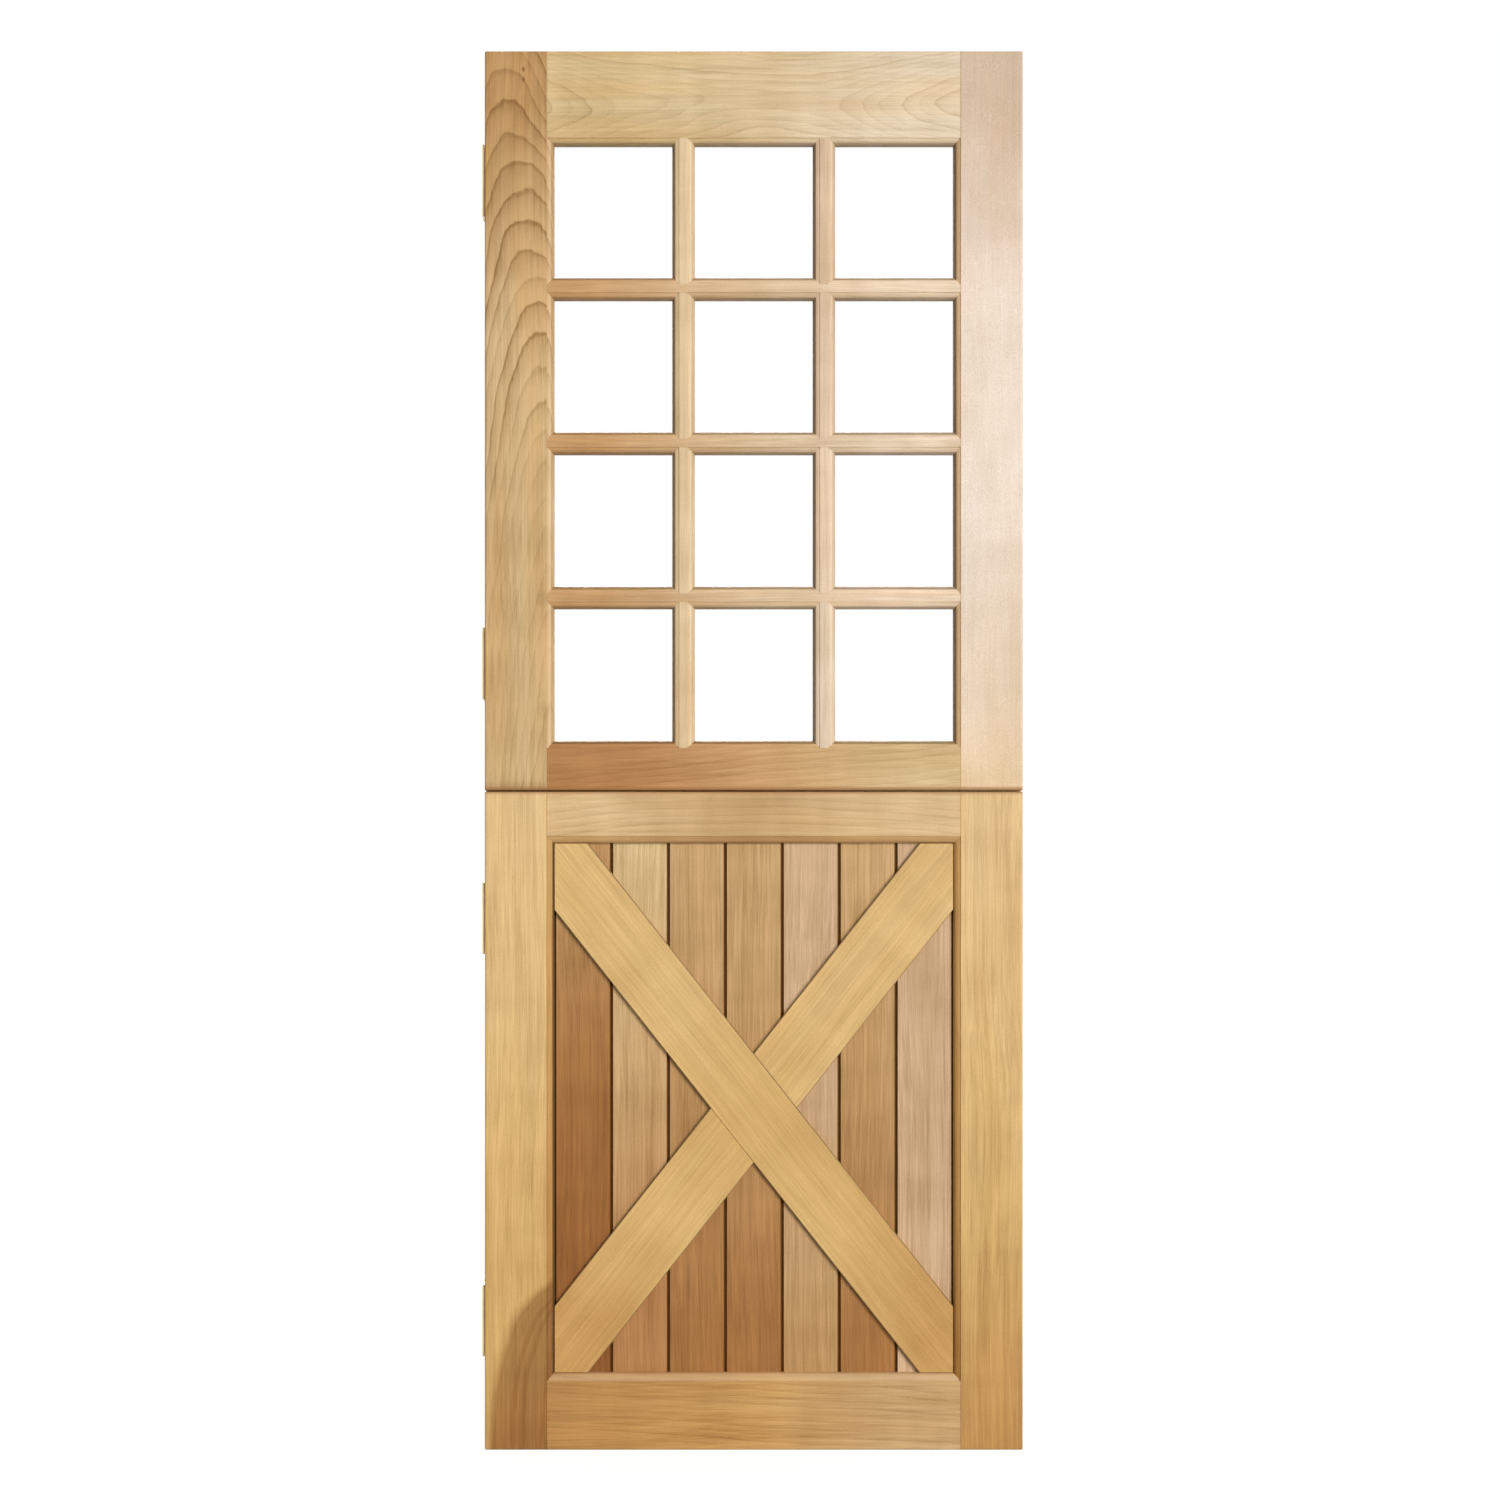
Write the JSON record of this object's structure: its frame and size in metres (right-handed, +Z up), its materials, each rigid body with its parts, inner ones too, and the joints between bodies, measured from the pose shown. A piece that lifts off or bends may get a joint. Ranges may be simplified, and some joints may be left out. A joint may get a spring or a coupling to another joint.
{
  "type": "dutch stable door",
  "caption": "Wooden stable door in an upper and a lower leaf: glazed with moulded bars above, boarded with a crossed brace below, butt hinged, with a barrel bolt inside.",
  "frame": {"origin": "middle of the lower leaf's bottom face, half way across its width and thickness", "axes": "+X to the right seen from outside, +Y through the door to the inside, +Z up"},
  "size_m": [0.7685, 0.076, 1.981],
  "materials": {
    "upper_frame_wood": "planed, unfinished",
    "lower_frame_wood": "planed, unfinished",
    "bar_wood": "planed, unfinished",
    "board_wood": "planed, unfinished",
    "brace_wood": "planed, unfinished",
    "clear_glass": "clear, polished",
    "satin_brass": "satin, lacquered",
    "screw_brass": "turned"
  },
  "bodies": {
    "jamb_hinges": {"hinge_1_jamb_plate": "satin_brass", "hinge_2_jamb_plate": "satin_brass", "hinge_3_jamb_plate": "satin_brass", "hinge_4_jamb_plate": "satin_brass", "hinge_pins": "satin_brass"},
    "lower_leaf": {"board_1": "board_wood", "board_2": "board_wood", "board_3": "board_wood", "board_4": "board_wood", "board_5": "board_wood", "board_6": "board_wood", "board_7": "board_wood", "bolt_keeper": "satin_brass", "brace_long": "brace_wood", "brace_lower_left": "brace_wood", "brace_upper_right": "brace_wood", "hinge_1_door_plate": "satin_brass", "hinge_2_door_plate": "satin_brass", "lower_bottom_rail": "lower_frame_wood", "lower_leaf_screws": "screw_brass", "lower_stile_left": "lower_frame_wood", "lower_stile_right": "lower_frame_wood", "lower_top_rail": "lower_frame_wood"},
    "upper_leaf": {"bar_upright_1_left": "bar_wood", "bar_upright_1_right": "bar_wood", "bar_upright_2_left": "bar_wood", "bar_upright_2_right": "bar_wood", "bar_upright_3_left": "bar_wood", "bar_upright_3_right": "bar_wood", "bar_upright_4_left": "bar_wood", "bar_upright_4_right": "bar_wood", "bolt_case": "satin_brass", "glass_pane_1_1": "clear_glass", "glass_pane_1_2": "clear_glass", "glass_pane_1_3": "clear_glass", "glass_pane_2_1": "clear_glass", "glass_pane_2_2": "clear_glass", "glass_pane_2_3": "clear_glass", "glass_pane_3_1": "clear_glass", "glass_pane_3_2": "clear_glass", "glass_pane_3_3": "clear_glass", "glass_pane_4_1": "clear_glass", "glass_pane_4_2": "clear_glass", "glass_pane_4_3": "clear_glass", "glazing_bar_1": "bar_wood", "glazing_bar_2": "bar_wood", "glazing_bar_3": "bar_wood", "glazing_beads_row_1": "bar_wood", "glazing_beads_row_2": "bar_wood", "glazing_beads_row_3": "bar_wood", "glazing_beads_row_4": "bar_wood", "hinge_3_door_plate": "satin_brass", "hinge_4_door_plate": "satin_brass", "upper_bottom_rail": "upper_frame_wood", "upper_leaf_screws": "screw_brass", "upper_stile_left": "upper_frame_wood", "upper_stile_right": "upper_frame_wood", "upper_top_rail": "upper_frame_wood"},
    "bolt": {"bolt_rod": "satin_brass", "bolt_knob": "satin_brass"}
  },
  "joints": [
    {"name": "lower_leaf_swing", "type": "hinge", "parent": "jamb_hinges", "child": "lower_leaf", "pos_m": [-0.382, 0.02805, 0.466], "axis": [0, 0, 1], "range_deg": [0, 90]},
    {"name": "upper_leaf_swing", "type": "hinge", "parent": "lower_leaf", "child": "upper_leaf", "pos_m": [-0.382, 0.02805, 1.4575], "axis": [0, 0, 1], "range_deg": [0, 90]},
    {"name": "bolt_slide", "type": "slide", "parent": "upper_leaf", "child": "bolt", "axis": [0, 0, -1], "range_m": [0, 0.025]}
  ]
}
